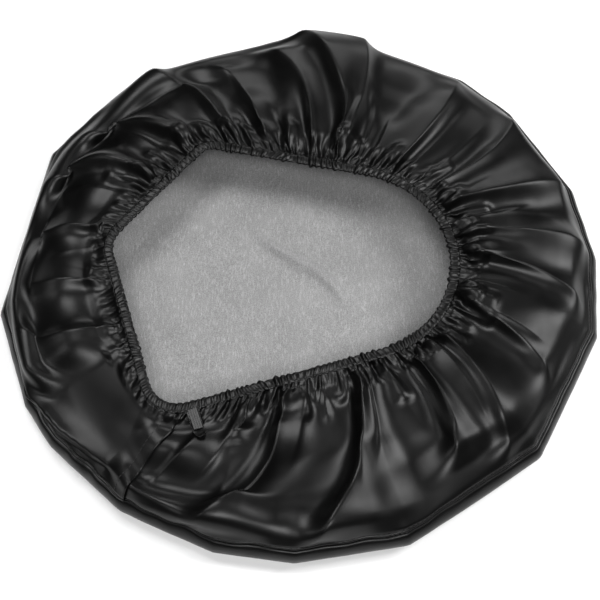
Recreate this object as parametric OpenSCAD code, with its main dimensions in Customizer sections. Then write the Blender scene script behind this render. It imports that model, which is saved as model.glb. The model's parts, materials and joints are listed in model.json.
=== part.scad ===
// Spare tyre cover: a round vinyl face panel, a band gathered by elastic, and the seams between them.
// It lies face down. The origin is the centre of the face panel's outer side, on the ground, and +Z
// points up through the mouth. The mouth is off centre and egg shaped, as slack elastic leaves it.

/* [Cover] */
// Diameter across the rounded rim
overall_d = 716; // [640:1:780]
// Thickness of the vinyl sheet
vinyl_t = 0.9; // [0.7:0.1:1.2]
// Thickness of the knitted backing bonded to the vinyl
backing_t = 0.5; // [0.3:0.1:0.6]

/* [Rim] */
// Radius of the face panel's rolled edge
roll_r = 14; // [12:1:18]
// Angle above the horizontal at which the roll meets the seam
roll_turn = 60; // [50:5:70]
// Outward lean of the band above the seam
wall_lean = 12; // [0:1:20]
// Height of the straight wall above the seam, which both seam allowances lie against
wall_h = 12; // [11:1:16]
// Length of the face panel's turned-in seam allowance
allowance = 8; // [6:1:9]

/* [Band] */
// Height of the hem above the ground
hem_z = 64; // [56:1:70]
// Height of the control point that raises the band's crown
crown_z = 90; // [75:1:100]
// Width of the strip where the ends of the band overlap
lap_w = 20; // [16:1:26]
// Distance from the overlap's stitch line to its raw edge
lap_edge = 14; // [10:1:15]
// Direction of the overlap, seen from above
lap_angle = 235; // [226:1:238]

/* [Mouth] */
// Scale of the mouth's outline
mouth_scale = 1; // [0.9:0.02:1.1]
// Width of the hem casing
casing_w = 11; // [10:0.5:14]
// Height of the hem casing
casing_h = 4.4; // [4.2:0.1:5.5]
// Width of the flat elastic
elastic_w = 8; // [6:0.5:8]
// Thickness of the flat elastic
elastic_t = 1.2; // [0.8:0.1:1.4]

/* [Stitching] */
// Radius of the sewing thread
thread_r = 0.4; // [0.3:0.05:0.5]
// Length of one stitch
stitch_l = 4; // [3:0.5:5]
// Distance from one stitch to the next
stitch_pitch = 5.5; // [5:0.5:8]
// Height of the topstitch above the seam
topstitch_h = 7; // [5:1:9]

/* [Tail] */
// Direction in which the elastic's free end leaves the mouth's lower left corner
tail_angle = 290; // [280:1:300]
// Length of the elastic's free end
tail_l = 24; // [15:1:28]
// Width of the vinyl flap under the free end
flap_w = 14; // [12:1:16]
// Length of the flap
flap_l = 34; // [30:1:40]
// Slope of the free end where it lies on the band
tail_slope = 20; // [18:1:30]

/* [Hidden] */
$fn = 64;

layer_gap = 0.05;                      // room between two bonded layers, which don't overlap
facet_gap = 1.1;                       // room between a turned surface and the band, whose wall is faceted
part_gap = 0.6;                        // room between pieces that move apart
flat_r = overall_d / 2 - roll_r - vinyl_t / 2;  // where the flat of the face panel ends
roll_z = roll_r + vinyl_t / 2;         // height of the roll's centre
seam_r = flat_r + roll_r * cos(roll_turn);
seam_z = roll_z + roll_r * sin(roll_turn);
band_seam_z = seam_z + 1.5 * vinyl_t;   // the band's lower edge, just above the face panel's edge
wall_steps = 2;                        // sections along the straight wall
crown_steps = 7;                       // sections from the wall over the crown to the hem
spoke_step = 18;                       // longest facet of the band along the mouth
hem_step = 6;                          // longest facet of the casing and the elastic
wall_reach = 20;                       // how far the wall's direction carries on into the crown
crown_share = 0.5;                     // where the crown's control point lies, from the hem to the seam
lap_inset = 3;                         // gap from the band's hem to the overlap strip
lap_lift = 2;                          // gap from the band's lower edge to the overlap strip
lining_turn = roll_turn - 15;          // where the backing ends on the roll, clear of the seam
bartack_count = 5;                     // thread bars across the elastic's joined ends
bartack_step = 3;                      // distance from one bar to the next
bartack_inset = 1;                     // gap from each end of a bar to the elastic's edge
tail_ribs = 4;                         // raised ribs along the elastic
rib_r = 0.6;                           // radius of a rib
tail_inset = 1;                        // gap from the tail's root to the elastic, and on to its ribs
facet_turn = 15;                       // largest turn of one facet round a corner of the mouth

// The mouth's outline is a loop of round corners joined by straight sides: [x, y, radius], anticlockwise.
corners = mouth_scale * [[52, -12, 128], [-107, 128, 24], [-184, 6, 40], [-132, -160, 40]];
corner_count = len(corners);
function corner(i) = corners[(i + corner_count) % corner_count];
function centre(i) = [corner(i).x, corner(i).y];
function outward(a) = [cos(a), sin(a)];

// Outward direction of the straight side that leaves corner i for the next corner.
function side_angle(i) =
    let (a = corner(i), b = corner(i + 1), d = centre(i + 1) - centre(i))
    atan2(d.y, d.x) - 90 + asin((a[2] - b[2]) / norm(d));
function turn(i) = (side_angle(i) - side_angle(i - 1) + 720) % 360;
function side_start(i, off = 0) = centre(i) + (corner(i)[2] + off) * outward(side_angle(i));
function side_end(i, off = 0) = centre(i + 1) + (corner(i + 1)[2] + off) * outward(side_angle(i));
function side_length(i) = norm(side_end(i) - side_start(i));

// Points round the mouth, off outside its centre line and at most step apart.
function arc_points(i, off, step) =
    let (n = ceil(max(turn(i) / facet_turn, corner(i)[2] * turn(i) * PI / 180 / step)))
    [for (k = [0:n - 1]) centre(i) + (corner(i)[2] + off) * outward(side_angle(i - 1) + turn(i) * k / n)];
function side_points(i, off, step) =
    let (n = ceil(side_length(i) / step))
    [for (k = [0:n - 1]) side_start(i, off) + (side_end(i, off) - side_start(i, off)) * k / n];
function mouth_points(off, step) =
    [for (i = [0:corner_count - 1]) each concat(arc_points(i, off, step), side_points(i, off, step))];

// A spoke is a direction from the cover's centre and the radius at which the band ends there.
band_end = casing_w / 2 + part_gap;
spokes = [for (p = mouth_points(band_end, spoke_step)) [atan2(p.y, p.x), norm(p)]];

// The band's section on one spoke, as [radius, height] pairs from the seam, up the wall and over the crown.
wall_foot = [seam_r, band_seam_z];
wall_top = wall_foot + wall_h * [sin(wall_lean), cos(wall_lean)];
function bezier(p, t) =
    pow(1 - t, 3) * p[0] + 3 * t * pow(1 - t, 2) * p[1] + 3 * t * t * (1 - t) * p[2] + pow(t, 3) * p[3];
function crown_controls(end_r) = [
    wall_top,
    wall_top + wall_reach * [sin(wall_lean), cos(wall_lean)],
    [end_r + crown_share * (seam_r - end_r), crown_z],
    [end_r, hem_z]
];
function section(end_r) = concat(
    [for (k = [0:wall_steps - 1]) wall_foot + (wall_top - wall_foot) * k / wall_steps],
    [for (k = [0:crown_steps]) bezier(crown_controls(end_r), k / crown_steps)]
);

// The unit normal at each point of a section, pointing out of the cover.
function section_normal(s, k) =
    let (d = s[min(k + 1, len(s) - 1)] - s[max(k - 1, 0)]) [d.y, -d.x] / norm(d);
function shifted(s, off) = [for (k = [0:len(s) - 1]) s[k] + off * section_normal(s, k)];
function from(s, first) = [for (k = [first:len(s) - 1]) s[k]];

// A layer of the band between two offsets from its middle surface. It is a closed ring of spokes.
module band_layer(inner, outer, spoke_list, first = 0) {
    rows = len(from(section(seam_r / 2), first));
    n = len(spoke_list);
    loop = 2 * rows;
    points = [
        for (s = spoke_list)
            let (line = section(s[1]))
            each [
                for (q = from(shifted(line, outer), first)) [q.x * cos(s[0]), q.x * sin(s[0]), q.y],
                for (k = [0:rows - 1])
                    let (q = from(shifted(line, inner), first)[rows - 1 - k])
                    [q.x * cos(s[0]), q.x * sin(s[0]), q.y]
            ]
    ];
    // Each four-sided facet is split the same way up on both surfaces, so that facing layers stay apart.
    faces = [
        for (i = [0:n - 1], k = [0:loop - 1])
            let (a = i * loop + k, b = i * loop + (k + 1) % loop)
            let (c = ((i + 1) % n) * loop + (k + 1) % loop, d = ((i + 1) % n) * loop + k)
            each k < rows ? [[a, b, c], [a, c, d]] : [[a, b, d], [b, c, d]]
    ];
    polyhedron(points, faces, convexity = 6);
}

// A strip of constant thickness along a line of points, drawn in the plane.
module strip(points, t) {
    for (k = [0:len(points) - 2]) {
        d = points[k + 1] - points[k];
        translate(points[k]) rotate(atan2(d.y, d.x)) translate([0, -t / 2]) square([norm(d), t]);
    }
    for (k = [1:len(points) - 2]) translate(points[k]) circle(t / 2);
}

// The part of a ring of radius r and thickness t from the bottom round to an angle above the horizontal.
module roll_arc(r, t, end) {
    reach = 2 * r;
    difference() {
        circle(r + t / 2);
        circle(r - t / 2);
        translate([-reach, -reach]) square([reach, 2 * reach]);
        rotate(end) square([reach, 2 * reach]);
        rotate(end) translate([-reach, 0]) square([reach, reach]);
    }
}

// A flat ring that follows the mouth, between two distances outside its centre line.
module mouth_ring(inner, outer, low, high) {
    translate([0, 0, low]) linear_extrude(high - low) difference() {
        polygon(mouth_points(outer, hem_step));
        polygon(mouth_points(inner, hem_step));
    }
}

module face_panel() {
    allowance_off = vinyl_t + facet_gap;
    foot = [seam_r, seam_z];
    jog = [seam_r - allowance_off, seam_z + allowance_off * cos(roll_turn)];
    color("#151517") rotate_extrude($fn = 180) {
        square([flat_r, vinyl_t]);
        translate([flat_r, roll_z]) roll_arc(roll_r, vinyl_t, roll_turn);
        strip([foot, jog, jog + allowance * [sin(wall_lean), cos(wall_lean)]], vinyl_t);
    }
}

module face_lining() {
    lining_roll = roll_r - vinyl_t / 2 - layer_gap - backing_t / 2;
    color("#a5a5a8") rotate_extrude($fn = 180) {
        translate([0, vinyl_t + layer_gap]) square([flat_r, backing_t]);
        translate([flat_r, roll_z]) roll_arc(lining_roll, backing_t, lining_turn);
    }
}

module band_panel() {
    color("#151517") band_layer(-vinyl_t / 2, vinyl_t / 2, spokes);
}

// The backing starts above the wall, which the seam allowances fill.
module band_lining() {
    outer = -vinyl_t / 2 - layer_gap;
    color("#a5a5a8") band_layer(outer - backing_t, outer, spokes, wall_steps);
}

// The overlapping end of the band, cut from a layer that lies on the band.
module band_lap() {
    inner = vinyl_t / 2 + layer_gap;
    start_r = lookup(lap_angle - 360, spokes) + lap_inset;
    slab = [seam_r, lap_w, 2 * crown_z];
    color("#1a1a1c") intersection() {
        band_layer(inner, inner + vinyl_t, spokes);
        rotate(lap_angle) translate([start_r, lap_edge - lap_w, band_seam_z + lap_lift]) cube(slab);
    }
}

// The hidden seam, sewn through the face panel's allowance and the band.
module seam_thread() {
    color("#202022") translate([0, 0, band_seam_z + 4 * thread_r])
        rotate_extrude($fn = 180) translate([seam_r - vinyl_t / 2, 0]) circle(thread_r);
}

// The stitch line round the band that holds the allowances flat.
module seam_topstitch() {
    at = wall_foot + topstitch_h * [sin(wall_lean), cos(wall_lean)]
        + (vinyl_t / 2) * [cos(wall_lean), -sin(wall_lean)];
    color("#202022") translate([0, 0, at.y]) rotate_extrude($fn = 180) translate([at.x, 0]) circle(thread_r);
}

// Stitches along the overlap, laid on its upper side where the band runs under the direction lap_angle.
module lap_stitch() {
    line = shifted(section(lookup(lap_angle - 360, spokes)), vinyl_t * 1.5 + layer_gap);
    color("#202022") rotate(lap_angle) for (k = [1:len(line) - 2]) {
        d = line[k + 1] - line[k];
        count = floor(norm(d) / stitch_pitch);
        for (j = [0:count - 1]) {
            at = line[k] + d * (j + 0.5) / count;
            translate([at.x, 0, at.y]) rotate([0, atan2(d.x, d.y), 0])
                cylinder(r = thread_r, h = stitch_l, center = true, $fn = 24);
        }
    }
}

// The band's edge folded under round the elastic: an upper and a lower layer joined at the mouth.
module hem_casing() {
    side = casing_w / 2;
    low = hem_z - casing_h / 2;
    high = hem_z + casing_h / 2;
    color("#18181a") {
        mouth_ring(-side, side, low, low + vinyl_t);
        mouth_ring(-side, side, high - vinyl_t, high);
        mouth_ring(-side, vinyl_t - side, low, high);
    }
}

// The stitches that close the casing, on its upper layer near the band.
module hem_stitch() {
    path = mouth_points(casing_w / 4, stitch_pitch);
    color("#202022") for (k = [0:len(path) - 1]) {
        d = path[(k + 1) % len(path)] - path[k];
        translate([path[k].x, path[k].y, hem_z + casing_h / 2]) rotate([90, 0, atan2(d.y, d.x) + 90])
            cylinder(r = thread_r, h = min(stitch_l, 0.8 * norm(d)), center = true, $fn = 24);
    }
}

module elastic_band() {
    color("#2c2c30") mouth_ring(-elastic_w / 2, elastic_w / 2, hem_z - elastic_t / 2, hem_z + elastic_t / 2);
}

// Thread bars that join the elastic's ends, on the straight side after the lower left corner.
module elastic_bartack() {
    bar_l = elastic_w - 2 * bartack_inset;
    side = corner_count - 1;
    start = side_start(side);
    along = outward(side_angle(side) + 90);
    color("#202022") for (k = [1:bartack_count]) {
        at = start + along * k * bartack_step;
        translate([at.x, at.y, hem_z + elastic_t / 2]) rotate([0, 90, side_angle(side)])
            cylinder(r = thread_r, h = bar_l, center = true, $fn = 24);
    }
}

// Places what is drawn along +X at the tail's root, outside the casing and lying on the band's slope.
module at_tail_root() {
    last = corner_count - 1;
    root = centre(last) + (corner(last)[2] + casing_w / 2 + part_gap) * outward(tail_angle);
    translate([root.x, root.y, hem_z + casing_h]) rotate(tail_angle) rotate([0, -tail_slope, 0]) children();
}

// The elastic's cut end: a flat braid with raised ribs along it.
module elastic_tail() {
    rib_l = tail_l - 4 * tail_inset;
    rib_pitch = elastic_w / tail_ribs;
    color("#4a4a4e") at_tail_root() translate([0, 0, vinyl_t + layer_gap]) {
        translate([tail_inset, -elastic_w / 2, 0]) cube([tail_l - tail_inset, elastic_w, elastic_t]);
        for (k = [0:tail_ribs - 1])
            translate([2 * tail_inset, (k + 0.5) * rib_pitch - elastic_w / 2, elastic_t])
                rotate([0, 90, 0]) cylinder(r = rib_r, h = rib_l, $fn = 24);
    }
}

// The vinyl flap left where the casing ends, under the elastic's free end.
module casing_flap() {
    color("#151517") at_tail_root() linear_extrude(vinyl_t) {
        translate([0, -flap_w / 2]) square([flap_l - flap_w / 2, flap_w]);
        translate([flap_l - flap_w / 2, 0]) circle(flap_w / 2);
    }
}

face_panel();
face_lining();
band_panel();
band_lining();
band_lap();
seam_thread();
seam_topstitch();
lap_stitch();
hem_casing();
hem_stitch();
elastic_band();
elastic_bartack();
elastic_tail();
casing_flap();
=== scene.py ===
"""A vinyl spare tyre cover, lying on its face. The cloth of the face panel's rim and of the gathered band is
simulated. The seams, the casing of the elastic, the overlap and the elastic's free end are built on it."""

import json
import math

import bpy
import numpy as np
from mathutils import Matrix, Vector
from mathutils.bvhtree import BVHTree


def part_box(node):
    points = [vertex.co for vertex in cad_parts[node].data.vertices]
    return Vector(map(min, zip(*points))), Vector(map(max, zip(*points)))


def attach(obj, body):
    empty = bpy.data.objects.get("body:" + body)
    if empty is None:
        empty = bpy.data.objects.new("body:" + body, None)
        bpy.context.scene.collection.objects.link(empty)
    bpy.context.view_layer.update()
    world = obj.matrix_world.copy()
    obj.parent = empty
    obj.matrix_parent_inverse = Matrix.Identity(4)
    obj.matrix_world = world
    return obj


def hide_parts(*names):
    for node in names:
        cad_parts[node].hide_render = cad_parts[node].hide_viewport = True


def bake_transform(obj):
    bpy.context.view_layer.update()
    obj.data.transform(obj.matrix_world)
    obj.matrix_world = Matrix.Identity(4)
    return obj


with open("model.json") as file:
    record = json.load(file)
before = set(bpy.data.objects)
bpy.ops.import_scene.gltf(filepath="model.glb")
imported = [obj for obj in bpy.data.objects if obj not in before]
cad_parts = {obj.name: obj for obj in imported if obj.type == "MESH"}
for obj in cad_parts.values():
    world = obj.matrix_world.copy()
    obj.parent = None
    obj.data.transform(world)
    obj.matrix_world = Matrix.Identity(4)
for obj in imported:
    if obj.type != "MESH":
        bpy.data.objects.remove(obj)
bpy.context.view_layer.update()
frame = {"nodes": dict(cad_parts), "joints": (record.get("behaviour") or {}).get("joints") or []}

MM = 0.001
TAU = 2 * math.pi
UP = np.array([0.0, 0.0, 1.0])

# ---------------------------------------------------------------- sizes, from the frame

FAR_OUT = 1.0  # metres from the Z axis, outside the whole cover


def ring_radii(node, z, angles):
    """Mean radius, from the Z axis, of a closed ring node at height z, in each direction."""
    mesh = frame["nodes"][node].data
    points = [vertex.co.copy() for vertex in mesh.vertices]
    tree = BVHTree.FromPolygons(points, [tuple(polygon.vertices) for polygon in mesh.polygons])
    centre = Vector((0, 0, z))
    radii = []
    for a in angles:
        out = Vector((math.cos(a), math.sin(a), 0))
        near = tree.ray_cast(centre, out)[3]
        far = tree.ray_cast(centre + out * FAR_OUT, -out)[3]
        radii.append((near + FAR_OUT - far) / 2)
    return np.array(radii)


def middle_z(node):
    low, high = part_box(node)
    return (low.z + high.z) / 2


HEM_Z = middle_z("hem_casing")
rim_low, rim_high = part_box("face_panel")
RIM_R = (rim_high.x - rim_low.x) / 2
lap_low, lap_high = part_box("lap_stitch")
LAP_ANGLE = math.atan2(lap_low.y + lap_high.y, lap_low.x + lap_high.x) % TAU
tail_joint = next(joint for joint in frame["joints"] if joint["name"] == "tail_flip")
TAIL_ROOT = Vector(tail_joint["pos_m"])
TAIL_SIDE = Vector(tail_joint["axis"])
TAIL_OUT = Vector((-TAIL_SIDE.y, TAIL_SIDE.x, 0))

# ---------------------------------------------------------------- small helpers


def smooth(x):
    x = np.clip(x, 0, 1)
    return x * x * (3 - 2 * x)


def rise(x, start, width):
    """0 up to start, then smoothly up to 1 over width."""
    return smooth((x - start) / width)


def fall(x, end, width):
    """0 from end on, and smoothly up to 1 over width before it."""
    return smooth((end - x) / width)


def off_angle(a, middle):
    """Signed angle from the direction middle to a, in radians."""
    return (a - middle + math.pi) % TAU - math.pi


def angle_bump(a, middle, width):
    """1 in the direction middle, fading to 0 over about width on both sides. Angles in radians."""
    return np.exp(-(off_angle(a, middle) / width) ** 2)


def near_angle(a, middle, width):
    """angle_bump with its middle and width in degrees."""
    return angle_bump(a, math.radians(middle), math.radians(width))


def grid_faces(rows, columns, closed=True):
    """Faces between the points of a grid, row after row. A closed grid's last column joins its first."""
    i = np.arange(columns if closed else columns - 1)
    faces = []
    for j in range(rows - 1):
        a = j * columns + i
        b = j * columns + (i + 1) % columns
        faces.append(np.stack([a, b, b + columns, a + columns], 1))
    return np.concatenate(faces).tolist()


def new_mesh(name, points, faces):
    mesh = bpy.data.meshes.new(name)
    mesh.from_pydata(np.asarray(points).tolist(), [], faces)
    obj = bpy.data.objects.new(name, mesh)
    bpy.context.scene.collection.objects.link(obj)
    return obj


# ---------------------------------------------------------------- the cloth before it settles

# The grid: rows of the face panel from its pinned ring to the seam, then rows of the band up to the hem.
COLUMNS = 432
FACE_ROWS = 13
BAND_ROWS = 40

# The cut pieces
FACE_PIN_R = 0.282
FACE_FLAT_R = 0.346
BAND_W = 0.233
BAND_SLACK = 0.014  # the band is cut this much wider towards SLACK_TURN, and narrower on the other side
SLACK_TURN = 150
CASING_SHARE = 0.62  # of the band's length is left at the hem, where fine pleats take up the rest
GATHER_FROM = 0.45  # where on the band, from seam 0 to hem 1, it starts to get shorter

# The cross-section: the face panel rolls up round the rim to the seam, and the band curves over to the hem
CLOTH_Z = 1.2 * MM
RIM_IN = 1.5 * MM  # from the CAD's rim in to the cloth's
ROLL_R = 17 * MM
SEAM_IN = 8 * MM
HEM_OUT = 5 * MM  # the hem's row lies this far outside the elastic, and this much above its middle
HEM_UP = 1.5 * MM
EDGE_UP = 36 * MM  # the handle of the band's curve over the seam
TOP_Z = 68 * MM  # the handle over the tyre's back, and its place from the hem 0 to the seam 1
TOP_SHARE = 0.7
RIM_FLAT = 1.0  # how straight the rim runs from corner to corner
# Directions of the rim's corners, in degrees, where a fold starts
FOLD_ANGLES = (2, 18, 40, 53, 78, 93, 126, 152, 190, 210, 219, 237, 255, 269, 289, 318, 345)

# The waves that the settling starts from: heights in metres, widths and directions in degrees
SEED = 8
SIDEWAYS = 0.2  # of a wave's height goes out from the axis, and all of it up
CALM_TURN, CALM_WIDE = 231, 8  # beside the overlap, where the band is flat
RIDGE_H = 18 * MM  # a ridge from each of the rim's corners
RIDGE_W = 4.5
RIDGE_MEAN = 0.3
SWELL_H = 9 * MM
SWELLS = 17
GATHERS = 30  # shorter folds that the elastic gathers, from a root on the band to the hem
GATHER_WIDE = (2.5, 5.5)
GATHER_SIZE = (0.4, 1.0)
GATHER_ROOT = (0.4, 0.72)
GATHER_H = 12 * MM
TUCK_H = 14 * MM  # a bulge across the overlap, TUCK_V up the band
TUCK_TURN, TUCK_WIDE = 222, 14
TUCK_V, TUCK_V_WIDE = 0.22, 0.07
ARC_H = 14 * MM  # broad arcs that run round the left side, ARC_COUNT of them up the band
ARC_TURN, ARC_WIDE = 190, 60
ARC_COUNT = 2.0
ARC_CALM = 0.75

angles = np.arange(COLUMNS) * TAU / COLUMNS
outward = np.stack([np.cos(angles), np.sin(angles), np.zeros(COLUMNS)], 1)
hem_radii = ring_radii("elastic_band", middle_z("elastic_band"), angles)


def rim_shape(a):
    """1 at each corner of the rim, less between them, as a chord cuts inside its circle."""
    corners = np.radians(FOLD_ANGLES)
    after = np.searchsorted(corners, a) % len(corners)
    span = (corners[after] - corners[after - 1]) % TAU
    off = (a - corners[after - 1]) % TAU - span / 2
    return 1 - RIM_FLAT * (1 - np.cos(span / 2) / np.cos(off))


def slow_wave(rng):
    """A drift round the cover, in radians, that makes evenly spaced waves uneven."""
    return sum(rng.normal(0, 1.0 / (m + 1)) * np.sin(m * angles + rng.uniform(0, TAU)) for m in range(1, 7))


def start_face(rim):
    """Rows of the face panel: flat on the ground, then rolled up round the rim to the seam."""
    width = FACE_FLAT_R - FACE_PIN_R
    curl = math.pi - math.asin(1 - SEAM_IN / ROLL_R)
    rows = []
    for j in range(FACE_ROWS):
        share = j / FACE_ROWS
        turn = max(curl - width * (1 - share) / ROLL_R, 0)
        flat = min(share / (1 - curl * ROLL_R / width), 1)
        r = FACE_PIN_R + (rim - ROLL_R - FACE_PIN_R) * flat + ROLL_R * math.sin(turn)
        z = ROLL_R * (1 - math.cos(turn)) + CLOTH_Z
        rows.append(outward * r[:, None] + UP * z)
    return rows, ROLL_R * (1 - math.cos(curl)) + CLOTH_Z


def start_waves(v, drift, gathers):
    """Height of the waves over the band's smooth cross-section, in one row at v of its width."""
    left = near_angle(angles, ARC_TURN, ARC_WIDE)
    lap = near_angle(angles, CALM_TURN, CALM_WIDE)
    calm = (1 - ARC_CALM * left) * (1 - lap)
    swell = SWELL_H * rise(v, 0, 0.2) * fall(v, 1, 0.2)
    wave = swell * np.sin(SWELLS * angles + 2 * drift) * (1 - left) * (1 - lap)
    ridges = np.zeros(COLUMNS)
    for corner in np.radians(FOLD_ANGLES):
        ridges += angle_bump(angles, corner, math.radians(RIDGE_W))
    wave += RIDGE_H * fall(v, 1, 0.1) * rise(v, 0.15, 0.25) * (ridges - RIDGE_MEAN) * calm
    for where, wide, high, root in gathers:
        bump = angle_bump(angles, where, math.radians(wide))
        wave += GATHER_H * high * rise(v, root, 0.15) * fall(v, 1, 0.1) * bump * calm
    tuck = math.exp(-((v - TUCK_V) / TUCK_V_WIDE) ** 2)
    wave += TUCK_H * near_angle(angles, TUCK_TURN, TUCK_WIDE) * tuck
    wave += ARC_H * left * np.sin(TAU * ARC_COUNT * (v - 0.1)) * rise(v, 0.1, 0.1) * fall(v, 0.9, 0.1)
    return wave


def start_shape():
    """The face panel's rim and the band on a smooth curve over it, with waves, before the cloth settles."""
    rim = (RIM_R - RIM_IN) * rim_shape(angles)
    rows, seam_z = start_face(rim)
    seam = rim - SEAM_IN
    hem = hem_radii + HEM_OUT
    corners = [
        np.stack([seam, np.full(COLUMNS, seam_z)], 1),
        np.stack([seam, np.full(COLUMNS, seam_z + EDGE_UP)], 1),
        np.stack([seam * TOP_SHARE + hem * (1 - TOP_SHARE), np.full(COLUMNS, TOP_Z)], 1),
        np.stack([hem, np.full(COLUMNS, HEM_Z + HEM_UP)], 1),
    ]
    rng = np.random.default_rng(SEED)
    slow_wave(rng)  # drawn and not used, so that the draws after it stay the same
    drift = slow_wave(rng)
    spans = ((0, TAU), GATHER_WIDE, GATHER_SIZE, GATHER_ROOT)
    gathers = [[rng.uniform(*span) for span in spans] for _ in range(GATHERS)]
    p0, p1, p2, p3 = corners
    for j in range(BAND_ROWS + 1):
        v = j / BAND_ROWS
        u = 1 - v
        point = u ** 3 * p0 + 3 * v * u ** 2 * p1 + 3 * v * v * u * p2 + v ** 3 * p3
        slope = 3 * u ** 2 * (p1 - p0) + 6 * v * u * (p2 - p1) + 3 * v * v * (p3 - p2)
        normal = np.stack([slope[:, 1], -slope[:, 0]], 1) / np.linalg.norm(slope, axis=1)[:, None]
        normal[:, 0] *= SIDEWAYS
        point = point + normal * start_waves(v, drift, gathers)[:, None]
        rows.append(outward * point[:, :1] + UP * point[:, 1:])
    return np.array(rows)


def band_radius(v):
    """Radius of the cut band as a tube: less near the hem, by the share that the fine pleats take up."""
    return FACE_FLAT_R * (1 - (1 - CASING_SHARE) * rise(v, GATHER_FROM, 1 - GATHER_FROM))


def rest_shape():
    """The cut pieces, flat or as a tube, before the elastic gathers them."""
    rows = []
    for j in range(FACE_ROWS):
        rows.append(outward * (FACE_PIN_R + (FACE_FLAT_R - FACE_PIN_R) * j / FACE_ROWS))
    step = (BAND_W + BAND_SLACK * np.cos(angles - math.radians(SLACK_TURN))) / BAND_ROWS
    z = np.zeros(COLUMNS)
    last = band_radius(0)
    for j in range(BAND_ROWS + 1):
        r = band_radius(j / BAND_ROWS)
        if j > 0:
            z = z + np.sqrt(np.maximum(step * step - (r - last) ** 2, 0))
        last = r
        rows.append(outward * r + UP * z[:, None])
    return np.array(rows)


# ---------------------------------------------------------------- the cloth settles

SETTLE_FRAMES = 34
GROUND = 1.0  # half width of the ground that the cloth lies on, in metres
CLOTH_SETTINGS = dict(
    quality=6, mass=0.02, air_damping=2.0,
    tension_stiffness=150, compression_stiffness=150, shear_stiffness=20, bending_stiffness=50.0,
    tension_damping=10, compression_damping=10, shear_damping=10, bending_damping=1.0,
    use_pressure=True, uniform_pressure_force=0.05,
)
COLLISION_SETTINGS = dict(
    use_collision=True, distance_min=1 * MM, use_self_collision=False, collision_quality=2,
)


def square(name, half):
    corners = [(-half, -half, 0), (half, -half, 0), (half, half, 0), (-half, half, 0)]
    return new_mesh(name, corners, [(0, 1, 2, 3)])


def settle_cover():
    """The start shape after SETTLE_FRAMES of cloth, with its innermost ring, its seam and its hem pinned."""
    start = start_shape()
    rows = len(start)
    obj = new_mesh("cloth", start.reshape(-1, 3), grid_faces(rows, COLUMNS))
    obj.shape_key_add(name="Basis")
    rest = obj.shape_key_add(name="rest")
    rest.data.foreach_set("co", rest_shape().reshape(-1).astype(np.float32))
    rest.value = 0
    pinned = np.concatenate([np.arange(COLUMNS) + row * COLUMNS for row in (0, FACE_ROWS, rows - 1)])
    obj.vertex_groups.new(name="pin").add(pinned.tolist(), 1.0, "REPLACE")
    ground = square("cloth_floor", GROUND)
    ground.modifiers.new("collision", "COLLISION")
    ground.collision.thickness_outer = 1 * MM
    cloth = obj.modifiers.new("cloth", "CLOTH")
    cloth.settings.rest_shape_key = rest
    cloth.settings.vertex_group_mass = "pin"
    for key, value in CLOTH_SETTINGS.items():
        setattr(cloth.settings, key, value)
    for key, value in COLLISION_SETTINGS.items():
        setattr(cloth.collision_settings, key, value)
    cloth.point_cache.frame_start = 1
    cloth.point_cache.frame_end = SETTLE_FRAMES
    for f in range(1, SETTLE_FRAMES + 1):
        bpy.context.scene.frame_set(f)
    mesh = obj.evaluated_get(bpy.context.evaluated_depsgraph_get()).to_mesh()
    points = np.zeros(len(mesh.vertices) * 3, np.float32)
    mesh.vertices.foreach_get("co", points)
    bpy.context.scene.frame_set(1)
    bpy.data.objects.remove(obj)
    bpy.data.objects.remove(ground)
    return points.reshape(rows, COLUMNS, 3).astype(float)


# ---------------------------------------------------------------- the settled cloth, combed

LOW_Z = 60 * MM
CREST_H = 22 * MM
FOLD_COLUMNS = 14  # what is narrower than this counts as a fold, and the rest as the cloth's mean
FOLD_ROWS = 5
FOLDS_KEPT = 0.3
LEFT_ROWS = 7
LEFT_EASED = 0.8
FAR_COLUMNS = 6
FAR_SHARE = 0.6
TAUT_SIDES = ((0.6, 12, 50), (0.15, 85, 40), (0.4, 300, 40))  # share, middle and width in degrees
TAUT_MOST = 0.7
TAUT_COLUMNS = 12
LAP_FLAT = 0.95
FLUTTER_H = 1 * MM


def average(rows, width, reach, shifted):
    """Sum of shifted(rows, k) for k from -reach to reach, with weights that fade over about width."""
    near = np.arange(-reach, reach + 1)
    weights = np.exp(-(near / width) ** 2)
    return sum(w * shifted(rows, k) for w, k in zip(weights / weights.sum(), near))


def soften(grid, width):
    """The grid with every row averaged over about width columns on both sides."""
    return average(grid, width, 2 * width, lambda rows, k: np.roll(rows, k, 1))


def soften_rows(grid, width):
    """The grid with every column averaged over about width rows on both sides."""
    reach = 2 * width
    padded = np.pad(grid, ((reach, reach), (0, 0), (0, 0)), mode="reflect", reflect_type="odd")
    return average(padded, width, reach, lambda rows, k: rows[reach + k:reach + k + len(grid)])


def smooth_far_side(grid):
    """The same cloth with a calmer outline at its far side, between the rim and the middle of the band."""
    v = (np.arange(len(grid)) - FACE_ROWS) / BAND_ROWS
    rows = rise(v, 0, 0.1) * fall(v, 0.6, 0.25)
    far = rise(np.sin(angles - math.radians(8)), -0.1, 0.6)
    share = FAR_SHARE * rows[:, None, None] * far[None, :, None]
    return grid * (1 - share) + soften(grid, FAR_COLUMNS) * share


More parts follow.
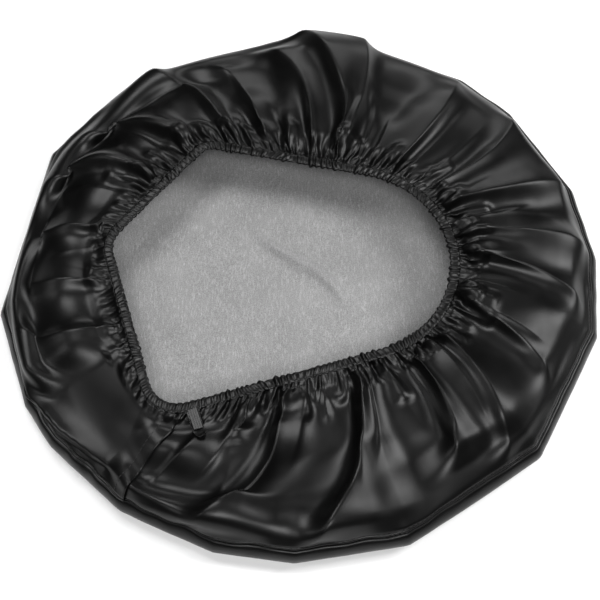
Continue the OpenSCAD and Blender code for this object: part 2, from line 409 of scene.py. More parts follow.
def comb_folds(grid):
    """The same cloth with its small folds combed towards the rim and its round folds on the left eased."""
    body = grid[FACE_ROWS:]
    mean = soften(grid, FOLD_COLUMNS)[FACE_ROWS:]
    eased = LEFT_EASED * near_angle(angles, 180, 45)[None, :, None]
    folds = soften_rows(body - mean, FOLD_ROWS) * FOLDS_KEPT
    combed = folds + mean * (1 - eased) + soften_rows(mean, LEFT_ROWS) * eased
    v = (np.arange(BAND_ROWS + 1) / BAND_ROWS)[:, None, None]
    share = rise(v, 0, 0.12) * fall(v, 1, 0.12)
    return np.concatenate([grid[:FACE_ROWS], body * (1 - share) + combed * share])


def lower_crests(grid):
    """The same cloth with its highest folds pressed down below LOW_Z + CREST_H."""
    over = np.maximum(grid[..., 2] - LOW_Z, 0)
    grid = grid.copy()
    grid[..., 2] -= over - CREST_H * (1 - np.exp(-over / CREST_H))
    return grid


def pull_straight(grid, share, shape):
    """The same cloth with the band drawn by its share, in each direction, towards a straight line from the
    seam to the hem. What shape leaves out, the folds, stays."""
    v = (np.arange(BAND_ROWS + 1) / BAND_ROWS)[:, None, None]
    shape = shape[FACE_ROWS:]
    line = shape[0] + (shape[-1] - shape[0]) * v
    band = grid[FACE_ROWS:] + (line - shape) * share[None, :, None]
    return np.concatenate([grid[:FACE_ROWS], band])


def flutter(grid):
    """The same cloth with small waves along the seam."""
    rows = np.exp(-((np.arange(len(grid)) - FACE_ROWS) / 3.0) ** 2)
    waves = np.sin(37 * angles + 2 * np.sin(5 * angles))
    waves += 0.7 * np.sin(61 * angles + 3 * np.sin(3 * angles + 1))
    push = rows[:, None] * waves * FLUTTER_H * (0.3 + 0.7 * near_angle(angles, 240, 35))
    out = np.stack([np.cos(angles), np.sin(angles), 0.9 * np.cos(8 * angles)], 1)
    return grid + push[..., None] * out


cloth = settle_cover()
cloth = lower_crests(comb_folds(smooth_far_side(cloth)))
taut = sum(share * near_angle(angles, middle, width) for share, middle, width in TAUT_SIDES)
cloth = pull_straight(cloth, np.minimum(taut, TAUT_MOST), soften(cloth, TAUT_COLUMNS))
beside_lap = np.abs(off_angle(angles, math.radians(222)))
cloth = pull_straight(cloth, LAP_FLAT * fall(beside_lap, math.radians(17), math.radians(9)), cloth)
cloth = flutter(cloth)

# ---------------------------------------------------------------- fine grids, read from the settled cloth

FINE_COLUMNS = 1200
SHEET_T = 0.9 * MM
BACKING_T = 0.5 * MM
TOPSTITCH_V = 0.031
SEAM_ROWS = (0, 0.004, 0.009, 0.015, 0.021, 0.027, TOPSTITCH_V, 0.036, 0.045, 0.06)
BAND_V = np.concatenate([SEAM_ROWS, np.linspace(0.08, 0.83, 40), np.linspace(0.842, 1, 28)])
V = BAND_V[:, None]
SEAM_GROOVE = 1.6 * MM
TOPSTITCH_GROOVE = 1.2 * MM
BACKING_GAP = 0.7 * MM
LIP_GAP = 6 * MM  # more room under the lip beside the overlap, where the band folds over itself
fine_angles = np.arange(FINE_COLUMNS) * TAU / FINE_COLUMNS


def curve_read(values, places, wrap):
    """Rows of an array read at fractional places, along Catmull-Rom curves."""
    count = len(values)
    i = np.floor(places).astype(int)
    t = (places - i).reshape((-1,) + (1,) * (values.ndim - 1))
    p = [values[(i + k) % count if wrap else np.clip(i + k, 0, count - 1)] for k in (-1, 0, 1, 2)]
    bend = 2 * p[0] - 5 * p[1] + 4 * p[2] - p[3] + t * (3 * (p[1] - p[2]) + p[3] - p[0])
    return p[1] + 0.5 * t * (p[2] - p[0] + t * bend)


def fine_grid(rows, shares):
    """A grid read at shares of its height, with FINE_COLUMNS columns."""
    tall = curve_read(rows, np.asarray(shares) * (len(rows) - 1), False)
    across = curve_read(tall.transpose(1, 0, 2), fine_angles / TAU * COLUMNS, True)
    return across.transpose(1, 0, 2)


def unit(vectors):
    return vectors / np.linalg.norm(vectors, axis=-1, keepdims=True)


def round_slope(grid, axis):
    """Difference of the next and the last point along a closed line."""
    return np.roll(grid, -1, axis) - np.roll(grid, 1, axis)


def grid_normals(grid):
    return unit(np.cross(round_slope(grid, 1), np.gradient(grid, axis=0)))


# ---------------------------------------------------------------- pleats at the hem

PUCKERS = 168
PUCKER_H = 2.2 * MM
BROAD_H = 2.0 * MM
TEARDROPS = 44
TEARDROP_H = 5 * MM

hem_r = np.interp(fine_angles, angles, hem_radii, period=TAU)
hem_x, hem_y = np.cos(fine_angles) * hem_r, np.sin(fine_angles) * hem_r
hem_line = np.stack([hem_x, hem_y, np.full(FINE_COLUMNS, HEM_Z)], 1)
hem_step = np.linalg.norm(np.roll(hem_line, -1, 0) - hem_line, axis=1)
hem_turn = TAU * (np.cumsum(hem_step) - hem_step) / hem_step.sum()

rng = np.random.default_rng(21)
pucker_phase = PUCKERS * hem_turn
for waves in (5, 11, 17, 29, 41):
    drift = rng.uniform(0.3, 0.6) * 14 / waves
    pucker_phase = pucker_phase + drift * np.sin(waves * hem_turn + rng.uniform(0, TAU))
pucker_lean = 2.4 * np.sin(9 * hem_turn + 1) + 1.2 * np.sin(23 * hem_turn)
pucker_h = 1 - 0.55 * near_angle(fine_angles, 185, 48) - 0.3 * near_angle(fine_angles, 236, 12)
for waves in (7, 13, 23, 37):
    pucker_h = pucker_h * (1 + 0.2 * np.sin(waves * hem_turn + rng.uniform(0, TAU)))
lobe_sizes = rng.uniform(0.45, 1.25, PUCKERS)


def lobe(phase):
    """A row of round lobes of uneven size with narrow valleys, from 0 to about 1."""
    return lobe_sizes[np.floor(phase / TAU).astype(int) % PUCKERS] * np.abs(np.sin(phase / 2)) ** 1.2


def teardrop(where, size, length):
    """Height of a pleat that starts at the hem and ends in a round drop, length down the band."""
    width = math.radians(0.9 + 1.6 * size) * (0.35 + 0.65 * fall(V, 1, length))
    height = TEARDROP_H * size * rise(V, 0.97 - length, 0.05) * fall(V, 1.01, 0.04)
    return height * angle_bump(fine_angles, where, width)


def pleats():
    """Height of the fine pleats that the elastic gathers, on the band's grid."""
    fine = PUCKER_H * rise(V, 0.93, 0.05) * (lobe(pucker_phase) - 0.35)
    broad = BROAD_H * rise(V, 0.88, 0.06) * fall(V, 1.02, 0.06) * np.sin(pucker_phase / 2 + 1.3)
    total = (fine + broad) * pucker_h
    for k in range(TEARDROPS):
        where = rng.uniform(0, TAU)
        size = rng.uniform(0.45, 1.0)
        if abs(off_angle(where, math.radians(195))) < math.radians(45) and rng.uniform() < 0.6:
            size = 0.0
        total += teardrop(where, size, rng.uniform(0.08, 0.18) * (0.5 + size))
    return total


# ---------------------------------------------------------------- folds that run over the band

LONG_FOLDS = 34
LONG_FOLD_H = 4 * MM
LONG_WIDTHS = (1.1, 3.5)  # a fold's half width at the hem and at its other end, in degrees
BIG_WIDTHS = (2.2, 7.5)
LIP_V = 0.10  # a rounded lip beside the overlap, LIP_V up the band and LIP_SLOPE further per radian
LIP_SLOPE = 0.45
LIP_H = 12 * MM
HOLLOW_H = 6 * MM  # a hollow on the overlap's other side
BIG_FOLDS = (
    # direction at the hem and at the other end, where that end is on the band, height, which side is broad
    (6, 2, 0, 12 * MM, 1),
    (19, 18, 0, 11 * MM, 1),
    (27, 39, 0, 15 * MM, -1),
    (46, 54, 0, 10 * MM, 1),
    (68, 78, 0, 15 * MM, 1),
    (73, 94, 0, 15 * MM, -1),
    (84, 100, 0.2, 12 * MM, -1),
    (103, 112, 0.25, 10 * MM, -1),
    (115, 127, 0, 15 * MM, 1),
    (132, 149, 0.15, 18 * MM, -1),
    (150, 163, 0.1, 18 * MM, -1),
    (172, 176, 0.2, 11 * MM, -1),
    (190, 186, 0.3, 11 * MM, -1),
    (205, 196, 0.15, 11 * MM, 1),
    (266, 248, 0.05, 16 * MM, 1),
    (291, 270, 0, 18 * MM, 1),
    (313, 302, 0.2, 16 * MM, 1),
    (324, 311, 0, 11 * MM, 1),
    (340, 330, 0.15, 10 * MM, 1),
    (359, 348, 0.08, 12 * MM, 1),
)


def fold(hem, end, place, height, side, widths):
    """Height of one fold on the band: its crest runs from the hem, in the direction hem, to the place on the
    band, in the direction end; it widens that way and is steeper on one side."""
    out = np.clip((1 - V) / (1 - place), 0, 1)
    d = off_angle(fine_angles - hem, (end - hem) * out ** 1.3)
    width = math.radians(widths[0]) * (1 - out) + math.radians(widths[1]) * out
    width = width * np.where(d * side > 0, 1.7, 0.5)
    return height * rise(V, place, 0.2) * fall(V, 1.01, 0.12) * np.exp(-np.abs(d / width) ** 1.3)


def long_folds():
    """Height of the folds that run from the casing out over the band."""
    total = np.zeros((len(BAND_V), FINE_COLUMNS))
    for hem, end, place, height, side in BIG_FOLDS:
        total += fold(math.radians(hem), math.radians(end), place, height, side, BIG_WIDTHS)
    for k in range(LONG_FOLDS):
        where = TAU * (k + rng.uniform(-0.35, 0.35)) / LONG_FOLDS
        place = rng.uniform(0.3, 0.7)
        calm = (1 - 0.7 * near_angle(where, 185, 35)) * (1 - 0.98 * near_angle(where, 226, 13))
        size = rng.uniform(0.35, 1.0) * calm
        lean = rng.uniform(-0.07, 0.07) + 0.12 * math.sin(where)
        total += fold(where, where + lean, place, LONG_FOLD_H * size, rng.choice((-1, 1)), LONG_WIDTHS)
    off = V - LIP_V - LIP_SLOPE * (fine_angles - math.radians(220))
    lip = np.exp(-np.abs(off / np.where(off < 0, 0.022, 0.12)) ** 1.5)
    total += LIP_H * lip * near_angle(fine_angles, 219, 10)
    return total - HOLLOW_H * rise(V, 0.08, 0.2) * fall(V, 1, 0.15) * near_angle(fine_angles, 241, 6)


def lowest_near(heights):
    """The lowest height within six columns and one row of each point."""
    low = np.min([np.roll(heights, k, 1) for k in range(-6, 7)], 0)
    low[1:-1] = np.minimum(low[1:-1], np.minimum(low[:-2], low[2:]))
    return low


settled_band = fine_grid(cloth[FACE_ROWS:], BAND_V)
settled_normals = grid_normals(settled_band)
gathers = pleats()
folds = long_folds()
backing_gap = BACKING_GAP + LIP_GAP * near_angle(fine_angles, 221, 16) * fall(V, 0.4, 0.15)
band_inside = settled_band + settled_normals * (lowest_near(folds) - SHEET_T - backing_gap)[..., None]
band_folded = settled_band + settled_normals * folds[..., None]
groove = SEAM_GROOVE * np.exp(-(V / 0.006) ** 2)
groove = groove + TOPSTITCH_GROOVE * np.exp(-((V - TOPSTITCH_V) / 0.005) ** 2)
band_surface = band_folded + grid_normals(band_folded) * (gathers - groove)[..., None]
band_normals = grid_normals(band_surface)


def on_band(v, column, lift):
    """Points at the given heights over the band's surface, and its normals, read between grid points."""
    v, column, lift = np.broadcast_arrays(v, column, lift)
    row = np.interp(v, BAND_V, np.arange(len(BAND_V)))
    r = np.clip(np.floor(row).astype(int), 0, len(BAND_V) - 2)
    c = np.floor(column).astype(int)
    over, beyond = (row - r)[..., None], (column - c)[..., None]

    def read(grid):
        low = grid[r, c % FINE_COLUMNS] * (1 - beyond) + grid[r, (c + 1) % FINE_COLUMNS] * beyond
        high = grid[r + 1, c % FINE_COLUMNS] * (1 - beyond) + grid[r + 1, (c + 1) % FINE_COLUMNS] * beyond
        return low * (1 - over) + high * over

    normals = unit(read(band_normals))
    return read(band_surface) + normals * lift[..., None], normals


# ---------------------------------------------------------------- materials

VINYL_TONE = 0.0010
VINYL_WORN = 0.0010
VINYL_PATCH = 0.0006
VINYL_ROUGH = (0.31, 0.38)
VINYL_SHINE = 0.235
BACKING_TONE = 0.175
THREAD_TONES = (0.004, 0.016)
ELASTIC_TONES = (0.02, 0.08)


def new_material(name, roughness=0.5):
    material = bpy.data.materials.new(name)
    material.use_nodes = True
    tree = material.node_tree
    bsdf = tree.nodes["Principled BSDF"]
    bsdf.inputs["Roughness"].default_value = roughness
    return material, tree, bsdf


def add(tree, kind, *sources, **settings):
    """A node of this kind. Its first inputs come from sources: a socket, a value, or None to skip."""
    node = tree.nodes.new(kind)
    for name, value in settings.items():
        setattr(node, name, value)
    for socket, source in zip(node.inputs, sources):
        if isinstance(source, bpy.types.NodeSocket):
            tree.links.new(source, socket)
        elif source is not None:
            socket.default_value = source
    return node.outputs[0]


def place(tree, scale=(1, 1, 1), turn=0.0):
    """Object coordinates in metres, scaled on each axis and turned about Z."""
    coordinates = tree.nodes.new("ShaderNodeTexCoord").outputs["Object"]
    return add(tree, "ShaderNodeMapping", coordinates, None, (0, 0, turn), scale)


def noise(tree, vector, scale, detail=2.0):
    return add(tree, "ShaderNodeTexNoise", vector, None, scale, detail)


def ranged(tree, value, low, high, out_low, out_high):
    return add(tree, "ShaderNodeMapRange", value, low, high, out_low, out_high)


def add_scaled(tree, value, factor, total):
    """value * factor + total."""
    return add(tree, "ShaderNodeMath", value, factor, total, operation="MULTIPLY_ADD")


def bump(tree, height, distance, strength, under=None):
    node = tree.nodes.new("ShaderNodeBump")
    node.inputs["Strength"].default_value = strength
    node.inputs["Distance"].default_value = distance
    tree.links.new(height, node.inputs["Height"])
    if under is not None:
        tree.links.new(under, node.inputs["Normal"])
    return node.outputs[0]


def black_vinyl():
    """Satin coated fabric: fine leather grain, soft dents, faint scuffs on the raised folds."""
    material, tree, bsdf = new_material("black_vinyl")
    here = place(tree)
    raised = tree.nodes.new("ShaderNodeNewGeometry").outputs["Pointiness"]
    worn = ranged(tree, raised, 0.52, 0.6, 0.0, 1.0)
    patch = ranged(tree, noise(tree, here, 22, 4), 0.35, 0.7, 0.0, 1.0)
    shade = add_scaled(tree, worn, VINYL_WORN, VINYL_TONE)
    tree.links.new(add_scaled(tree, patch, VINYL_PATCH, shade), bsdf.inputs["Base Color"])
    rough = ranged(tree, noise(tree, here, 35, 5), 0.3, 0.7, *VINYL_ROUGH)
    tree.links.new(rough, bsdf.inputs["Roughness"])
    bsdf.inputs["Specular IOR Level"].default_value = VINYL_SHINE
    dents = bump(tree, noise(tree, here, 60), 0.4 * MM, 0.12)
    grain = add(tree, "ShaderNodeTexVoronoi", here, None, 900.0, feature="SMOOTH_F1")
    tree.links.new(bump(tree, grain, 0.05 * MM, 0.25, dents), bsdf.inputs["Normal"])
    return material


def grey_backing():
    """Brushed grey knit: short light streaks along one direction, soft mottling, fine fuzz."""
    material, tree, bsdf = new_material("grey_backing", 0.95)
    streak = noise(tree, place(tree, (620, 130, 200), 0.07), 1.0, 3.0)
    streak = ranged(tree, streak, 0.50, 0.75, 0.0, 1.0)
    fuzz = noise(tree, place(tree), 900, 3.0)
    mottle = noise(tree, place(tree), 16, 3.0)
    shade = ranged(tree, fuzz, 0.3, 0.7, -0.07, 0.07)
    shade = add_scaled(tree, streak, 0.09, shade)
    shade = add_scaled(tree, mottle, 0.10, shade)
    shade = add(tree, "ShaderNodeMath", shade, BACKING_TONE, operation="ADD")
    tree.links.new(shade, bsdf.inputs["Base Color"])
    bsdf.inputs["Sheen Weight"].default_value = 0.25
    bsdf.inputs["Specular IOR Level"].default_value = 0.15
    weave = bump(tree, streak, 0.25 * MM, 0.5)
    tree.links.new(bump(tree, fuzz, 0.2 * MM, 0.6, weave), bsdf.inputs["Normal"])
    return material


def black_thread():
    """Spun thread with a fine twist."""
    material, tree, bsdf = new_material("black_thread", 0.6)
    here = place(tree)
    shade = ranged(tree, noise(tree, here, 700), 0.3, 0.7, *THREAD_TONES)
    tree.links.new(shade, bsdf.inputs["Base Color"])
    tree.links.new(bump(tree, noise(tree, here, 2200), 0.1 * MM, 0.6), bsdf.inputs["Normal"])
    return material


def dark_elastic():
    """Braided elastic in dark grey yarn."""
    material, tree, bsdf = new_material("dark_elastic", 0.75)
    yarn = noise(tree, place(tree), 1400)
    tree.links.new(ranged(tree, yarn, 0.3, 0.7, *ELASTIC_TONES), bsdf.inputs["Base Color"])
    tree.links.new(bump(tree, yarn, 0.2 * MM, 0.7), bsdf.inputs["Normal"])
    return material


materials = {
    "black_vinyl": black_vinyl(),
    "grey_backing": grey_backing(),
    "black_thread": black_thread(),
    "dark_elastic": dark_elastic(),
}

# ---------------------------------------------------------------- pieces: the band


def finish_piece(obj, slot, body, node):
    """Smooth shading, the slot's material, the CAD node that this piece replaces and its body, if any."""
    for polygon in obj.data.polygons:
        polygon.use_smooth = True
    obj.data.materials.append(materials[slot])
    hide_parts(node)
    if body:
        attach(obj, body)


def thicken(obj, thickness):
    solid = obj.modifiers.new("thickness", "SOLIDIFY")
    solid.thickness = thickness
    solid.offset = -1


def stretch(obj):
    """obj with its transform baked into its mesh, so that it stays where it was built."""
    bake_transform(obj)


def make_band():
    obj = new_mesh("band", band_surface.reshape(-1, 3), grid_faces(len(BAND_V), FINE_COLUMNS))
    finish_piece(obj, "black_vinyl", None, "band_panel")
    thicken(obj, SHEET_T)
    stretch(obj)


def make_band_backing():
    """The knit inside the band, short of the seam and the casing, with half of the band's columns."""
    inside = (BAND_V > 0.05) & (BAND_V < 0.86)
    shares = BAND_V[inside]
    rows = band_inside[inside][:, ::2]
    obj = new_mesh("band_backing", rows.reshape(-1, 3), grid_faces(len(shares), FINE_COLUMNS // 2))
    finish_piece(obj, "grey_backing", None, "band_lining")
    thicken(obj, BACKING_T)
    stretch(obj)


# ---------------------------------------------------------------- pieces: the face panel

DISC_RINGS = 60
DISC_HOLE_R = 4 * MM
SLACK_H = 0.5 * MM
GROUND_GAP = 0.05 * MM
CREASES = (
    # x, y of both ends, height and half width, in metres
    ((-0.062, 0.076), (0.078, -0.056), 9 * MM, 6 * MM),
    ((-0.130, -0.030), (-0.020, -0.120), 1.4 * MM, 14 * MM),
    ((0.010, 0.105), (0.110, 0.050), 1.4 * MM, 15 * MM),
)


def wander(along):
    """How far a crease strays to the side on its way."""
    return 6 * MM * np.sin(along * 40)


def face_height(x, y):
    """How far the slack face panel stands off the ground."""
    total = SLACK_H * (1 + np.sin(31 * x + 17 * y + 1) * np.sin(27 * y - 12 * x))
    for (x0, y0), (x1, y1), height, width in CREASES:
        length = math.hypot(x1 - x0, y1 - y0)
        ux, uy = (x1 - x0) / length, (y1 - y0) / length
        along = (x - x0) * ux + (y - y0) * uy
        across = (y - y0) * ux - (x - x0) * uy + wander(along)
        ends = rise(along, 0, length / 3) * fall(along, length, length / 3)
        total += height * ends / (1 + (across / width) ** 2)
    return total


def face_surface():
    """The face panel's outer side: flat rings in the middle, the settled rim, then the seam."""
    disc_r = np.linspace(DISC_HOLE_R, FACE_PIN_R, DISC_RINGS)[:-1, None]
    flat = np.zeros((len(disc_r), FINE_COLUMNS))
    disc = np.stack([disc_r * np.cos(fine_angles), disc_r * np.sin(fine_angles), flat], 2)
    shares = np.concatenate([np.linspace(0, 0.9, 40), [0.93, 0.955, 0.975, 0.99, 1]])
    to_seam = (1 - shares)[:, None, None]
    rim = fine_grid(cloth[:FACE_ROWS + 1], shares) - UP * CLOTH_Z * to_seam
    rim[..., 2] = np.maximum(rim[..., 2], GROUND_GAP)
    rim = rim - grid_normals(rim) * SEAM_GROOVE * np.exp(-(to_seam / 0.02) ** 2)
    grid = np.concatenate([disc, rim])
    inner = fall(np.hypot(grid[..., 0], grid[..., 1]), 0.33, 0.08)
    grid[..., 2] += inner * face_height(grid[..., 0], grid[..., 1])
    return grid


def closed_disc(name, grid):
    """A mesh from rings of points, with a fan that closes the innermost ring."""
    rings, columns = grid.shape[:2]
    fan = [(rings * columns, (k + 1) % columns, k) for k in range(columns)]
    points = np.concatenate([grid.reshape(-1, 3), grid[0].mean(0)[None]])
    return new_mesh(name, points, grid_faces(rings, columns) + fan)


def make_face():
    """The vinyl and, inside it and short of the seam, the knit."""
    outside = face_surface()[:, ::2]
    obj = closed_disc("face", outside)
    finish_piece(obj, "black_vinyl", "cover", "face_panel")
    thicken(obj, SHEET_T)
    inside = (outside - grid_normals(outside) * (SHEET_T + 0.1 * MM))[:-4]
    obj = closed_disc("face_backing", inside)
    finish_piece(obj, "grey_backing", "cover", "face_lining")
    thicken(obj, BACKING_T)


# ---------------------------------------------------------------- pieces: the casing

CASING_SIDES = 20
CASING_T = 0.5 * MM
CASING_WIDE = 5.3 * MM
CASING_HIGH = 1.1 * MM
SWELL_IN, SWELL_OUT, SWELL_UP = 2.4 * MM, 1.2 * MM, 2.3 * MM
CASING_SQUARE = 0.8


def hem_out(line):
    """Level unit vectors across a line along the hem, away from the mouth."""
    return np.cross(unit(round_slope(line, 0)), UP)


def squared(x):
    """A cosine or sine bent towards a rounder rectangle."""
    return np.sign(x) * abs(x) ** CASING_SQUARE


def make_casing():
    """The hem folded over the elastic, puckered where the elastic has drawn it in."""
    columns = 2 * FINE_COLUMNS
    fine = np.arange(columns) / 2
    middle = curve_read(hem_line, fine, True)
    whole = np.append(pucker_phase, pucker_phase[0] + TAU * PUCKERS)
    phase = np.interp(fine, np.arange(FINE_COLUMNS + 1), whole)
    lean = curve_read(pucker_lean, fine, True)
    size = curve_read(pucker_h, fine, True)
    out = hem_out(middle)
    rows = []
    for k in range(CASING_SIDES):
        turn = TAU * k / CASING_SIDES
        twist = phase + lean * math.cos(turn) + 0.6 * math.sin(turn)
        puff = (0.8 * lobe(twist) + 0.2 * np.sin(twist / 4 + 1) ** 2) * size
        swell = SWELL_OUT if math.cos(turn) > 0 else SWELL_IN
        wide = (CASING_WIDE + swell * puff) * squared(math.cos(turn))
        high = (CASING_HIGH + SWELL_UP * puff) * squared(math.sin(turn))
        rows.append(middle + out * wide[:, None] + UP * high[:, None])
    faces = [[i % (CASING_SIDES * columns) for i in face] for face in grid_faces(CASING_SIDES + 1, columns)]
    obj = new_mesh("casing", np.array(rows).reshape(-1, 3), faces)
    finish_piece(obj, "black_vinyl", "hem", "hem_casing")
    thicken(obj, CASING_T)


# ---------------------------------------------------------------- pieces: stitches

THREAD_SIDES = 6
THREAD_RINGS = 7
HEM_STITCH_OUT = 3.2 * MM


def read_line(values, where, s):
    """Rows of an array, known at the lengths where, read at the lengths s."""
    return np.stack([np.interp(s, where, values[:, k]) for k in range(3)], 1)


def make_stitches(name, node, points, normals, v=None, body=None,
                  radius=0.4 * MM, length=4 * MM, pitch=5.5 * MM):
    """Stitches along a line of points: each is a short thread that dips into the cloth at both ends. With v,
    the line's place on the band, they stay where they are built; or else they ride on the body."""
    where = np.concatenate([[0], np.cumsum(np.linalg.norm(np.diff(points, axis=0), axis=1))])
    turns = TAU * np.arange(THREAD_SIDES)[:, None] / THREAD_SIDES
    quads = grid_faces(THREAD_RINGS, THREAD_SIDES)
    made, faces, places = [], [], []
    for start in np.arange(0, where[-1] - length, pitch):
        s = start + np.linspace(0, length, THREAD_RINGS)
        line = read_line(points, where, s)
        up = unit(read_line(normals, where, s))
        side = np.cross(unit(np.gradient(line, axis=0)), up)
        dip = np.linspace(-1, 1, THREAD_RINGS) ** 4
        line = line + up * (radius * (0.5 - 1.9 * dip))[:, None]
        first = len(made) * THREAD_RINGS * THREAD_SIDES
        made.append(line[:, None] + radius * (np.cos(turns) * side[:, None] + np.sin(turns) * up[:, None]))
        faces += [[first + i for i in face] for face in quads]
        last = first + (THREAD_RINGS - 1) * THREAD_SIDES
        faces.append([first + k for k in reversed(range(THREAD_SIDES))])
        faces.append([last + k for k in range(THREAD_SIDES)])
        if v is not None:
            places.append(np.repeat(np.interp(s, where, v), THREAD_SIDES))
    obj = new_mesh(name, np.array(made).reshape(-1, 3), faces)
    finish_piece(obj, "black_thread", body, node)
    if v is not None:
        stretch(obj)


def make_seams():
    """The topstitch beside the seam, and the stitches in the seam itself."""
    columns = np.arange(FINE_COLUMNS + 1)
    v = np.full(len(columns), TOPSTITCH_V)
    make_stitches("seam_topstitching", "seam_topstitch", *on_band(v, columns, 0), v)
    v = np.zeros(len(columns))
    make_stitches("seam_stitching", "seam_thread", *on_band(v, columns, -0.2 * MM), v, pitch=5 * MM)


def make_hem_stitches():
    """The stitches that close the casing, over its puckers on the outer side."""
    out = hem_out(hem_line)
    puff = lobe(pucker_phase + 0.9) * pucker_h
    high = 0.85 * (CASING_HIGH + 2.0 * MM * puff)
    points = hem_line + out * HEM_STITCH_OUT + UP * high[:, None]
    normals = UP + 0.3 * out
    points = np.concatenate([points, points[:1]])
    normals = np.concatenate([normals, normals[:1]])
    make_stitches("hem_stitching", "hem_stitch", points, normals, body="hem",
                  radius=0.35 * MM, length=3 * MM, pitch=4.5 * MM)


# ---------------------------------------------------------------- pieces: the overlap

LAP_MARGIN = 14 * MM
LAP_WIDE = 46 * MM
LAP_ROWS = 24
LAP_POINTS = 90
LAP_H = 3.0 * MM
LAP_SUNK = 0.25 * MM


def on_lap(v, from_edge):
    """Points and normals on the overlap, at a distance along the cloth from its raw edge."""
    column = (LAP_ANGLE + (LAP_MARGIN - from_edge) / band_radius(v)) / TAU * FINE_COLUMNS
    share = from_edge / LAP_WIDE
    return on_band(v, column, LAP_H * (1 - smooth(share)) - LAP_SUNK * smooth(share * 1.5 - 0.4))


def make_lap():
    """The band's end that lies on top: a strip from its raw edge to where it has sunk into the band, and
    the stitch line along it."""
    v = np.linspace(0.0, 0.985, LAP_POINTS)
    rows = [on_lap(v, from_edge)[0] for from_edge in np.linspace(0, LAP_WIDE, LAP_ROWS)]
    obj = new_mesh("lap", np.array(rows).reshape(-1, 3), grid_faces(LAP_ROWS, LAP_POINTS, closed=False))
    finish_piece(obj, "black_vinyl", None, "band_lap")
    thicken(obj, SHEET_T)
    stretch(obj)
    v = np.linspace(0.05, 0.96, 200)
    make_stitches("lap_stitching", "lap_stitch", *on_lap(v, LAP_MARGIN), v)


# ---------------------------------------------------------------- pieces: the elastic's free end

TAIL_ROWS = 40
FLAP_LONG = 32 * MM
FLAP_HALF = 7 * MM
FLAP_LIFT = 1.6 * MM
ELASTIC_LONG = 22 * MM
ELASTIC_HALF = 5 * MM
ELASTIC_LIFT = 4.0 * MM
ELASTIC_T = 1.1 * MM


def held_heights(tree, length, half_width):
    """Height of the band under a strip from the tail's root, smoothed along the strip."""
    heights = []
    for s in np.linspace(0, 1, TAIL_ROWS):
        top = 0
        for t in np.linspace(-1, 1, 7):
            at = TAIL_ROOT + TAIL_OUT * (s * length) + TAIL_SIDE * (t * half_width(s))
            hit = tree.ray_cast(Vector((at.x, at.y, FAR_OUT)), Vector((0, 0, -1)))[0]
            top = max(top, hit.z if hit else 0)
        heights.append(top)
    heights[0] = max(heights[0], TAIL_ROOT.z - 2 * MM)
    held = np.array([max(heights[max(k - 3, 0):k + 4]) for k in range(TAIL_ROWS)])
    return np.convolve(np.pad(held, 4, mode="edge"), np.ones(9) / 9, "valid")


def loose_strip(name, node, slot, tree, length, half_width, lift, bow, thickness, across):
    """A strip from the tail's root that lies along the band, a lift above it. bow(s, t) is added to its
    height, with s from root to end and t from side to side."""
    points = []
    for s, z in zip(np.linspace(0, 1, TAIL_ROWS), held_heights(tree, length, half_width)):
        for t in np.linspace(-1, 1, across):
            at = TAIL_ROOT + TAIL_OUT * (s * length) + TAIL_SIDE * (t * half_width(s))
            points.append((at.x, at.y, z + lift + bow(s, t)))
    obj = new_mesh(name, points, grid_faces(TAIL_ROWS, across, closed=False))
    finish_piece(obj, slot, "tail", node)
    thicken(obj, thickness)


def make_tail():
    """The vinyl flap with a round end and, on it, the elastic's cut end with its cords."""
    def flap_half(s):
        from_end = (1 - s) * (FLAP_LONG + 2 * MM)
        round_end = math.sqrt(max(1 - max(1 - from_end / FLAP_HALF, 0) ** 2, 0.02))
        return FLAP_HALF * round_end * (1 - 0.15 * s)

    def flap_bow(s, t):
        return MM * (0.8 * t * t * s + 27 * max(s - 0.62, 0) ** 2 + 0.5 * math.sin(9 * s + 2 * t))

    def elastic_bow(s, t):
        cord = 0.8 * abs(math.sin(TAU * t)) ** 0.6
        return MM * (cord + 2.2 * math.sin(math.pi * s) + s * t)

    tree = BVHTree.FromPolygons(band_surface.reshape(-1, 3).tolist(), grid_faces(len(BAND_V), FINE_COLUMNS))
    loose_strip("casing_end", "casing_flap", "black_vinyl", tree, FLAP_LONG, flap_half, FLAP_LIFT, flap_bow,
                SHEET_T, 25)
    loose_strip("elastic_end", "elastic_tail", "dark_elastic", tree, ELASTIC_LONG, lambda s: ELASTIC_HALF,
                ELASTIC_LIFT, elastic_bow, ELASTIC_T, 61)


make_band()
make_band_backing()
make_tail()
make_face()
make_casing()
make_seams()
make_lap()
make_hem_stitches()
for name, slot in (("elastic_band", "dark_elastic"), ("elastic_bartack", "black_thread")):
    for material_slot in frame["nodes"][name].material_slots:
        material_slot.material = materials[slot]

# ---------------------------------------------------------------- floor, light and camera

FLOOR = 8.0
PALE = 0.95
GLOW_SCALE = (0.4, 0.4, 0.4)  # the floor's gradient ends 1 / 0.4 metres from the cover's axis
GLOW_START = 0.65  # share of that gradient where the glow starts, 0.875 metres from the axis
WORLD_LIGHT = 0.04
ELEVATION = math.radians(61)
CAMERA_LENS = 70
CAMERA_TARGET = Vector((0, -0.047, 0.03))
CAMERA_FAR = 1.366


def camera_sees(tree):
    """1 for what the camera sees directly, 0 for the light that falls on surfaces."""
    return tree.nodes.new("ShaderNodeLightPath").outputs["Is Camera Ray"]


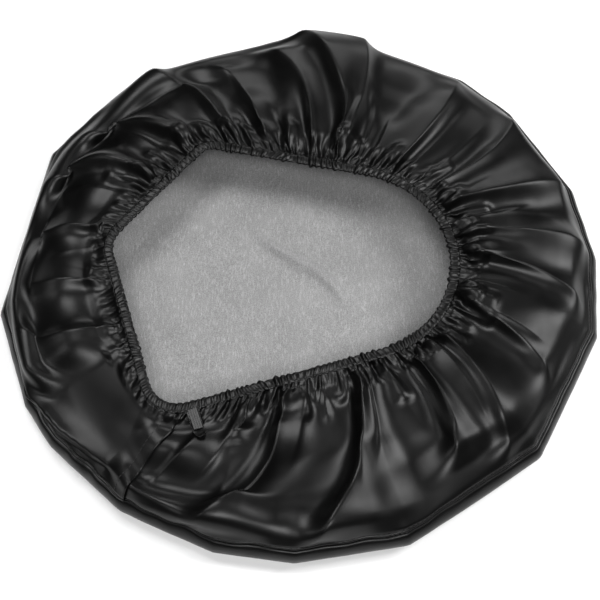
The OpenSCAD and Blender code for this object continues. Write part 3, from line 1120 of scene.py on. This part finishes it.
def make_floor():
    """A pale floor that also looks pale far from the lights. Its glow starts outside the main view."""
    floor = square("floor", FLOOR)
    pale, tree, bsdf = new_material("pale_floor", 0.9)
    bsdf.inputs["Base Color"].default_value = (0.9, 0.9, 0.9, 1)
    near = add(tree, "ShaderNodeTexGradient", place(tree, GLOW_SCALE), gradient_type="SPHERICAL")
    glow = ranged(tree, near, GLOW_START, 0.0, 0.0, PALE)
    seen = add(tree, "ShaderNodeMath", camera_sees(tree), glow, operation="MULTIPLY")
    bsdf.inputs["Emission Color"].default_value = (1, 1, 1, 1)
    tree.links.new(seen, bsdf.inputs["Emission Strength"])
    floor.data.materials.append(pale)


def make_world():
    """A dim world that looks pale behind the floor."""
    world = bpy.data.worlds.new("studio")
    bpy.context.scene.world = world
    world.use_nodes = True
    tree = world.node_tree
    background = tree.nodes["Background"]
    background.inputs[0].default_value = (1, 1, 1, 1)
    tree.links.new(ranged(tree, camera_sees(tree), 0.0, 1.0, WORLD_LIGHT, PALE), background.inputs[1])


def aim(name, data, location, away):
    """An object at the location that looks along the opposite of away."""
    obj = bpy.data.objects.new(name, data)
    obj.location = location
    obj.rotation_euler = (-away).to_track_quat("-Z", "Y").to_euler()
    bpy.context.scene.collection.objects.link(obj)
    return obj


def softbox(name, location, size, power):
    """A rectangular light of the given size and watts, towards the middle of the cover."""
    light = bpy.data.lights.new(name, "AREA")
    light.shape = "RECTANGLE"
    light.size, light.size_y = size
    light.energy = power
    aim(name, light, location, Vector(location))


def make_camera():
    camera = bpy.data.cameras.new("camera")
    camera.lens = CAMERA_LENS
    away = Vector((0, -math.cos(ELEVATION), math.sin(ELEVATION)))
    bpy.context.scene.camera = aim("camera", camera, CAMERA_TARGET + away * CAMERA_FAR, away)
    bpy.context.scene.view_settings.view_transform = "Standard"


make_floor()
make_world()
softbox("key", (-0.7, 0.75, 2.45), (1.3, 0.9), 37)
softbox("side", (1.8, 0.3, 1.7), (0.9, 1.2), 43)
softbox("front", (0.2, -1.5, 2.3), (1.3, 0.8), 48)
softbox("left", (-1.7, -0.7, 1.7), (0.7, 0.7), 6)
softbox("back", (0.3, 2.2, 1.1), (1.6, 0.6), 13)
make_camera()
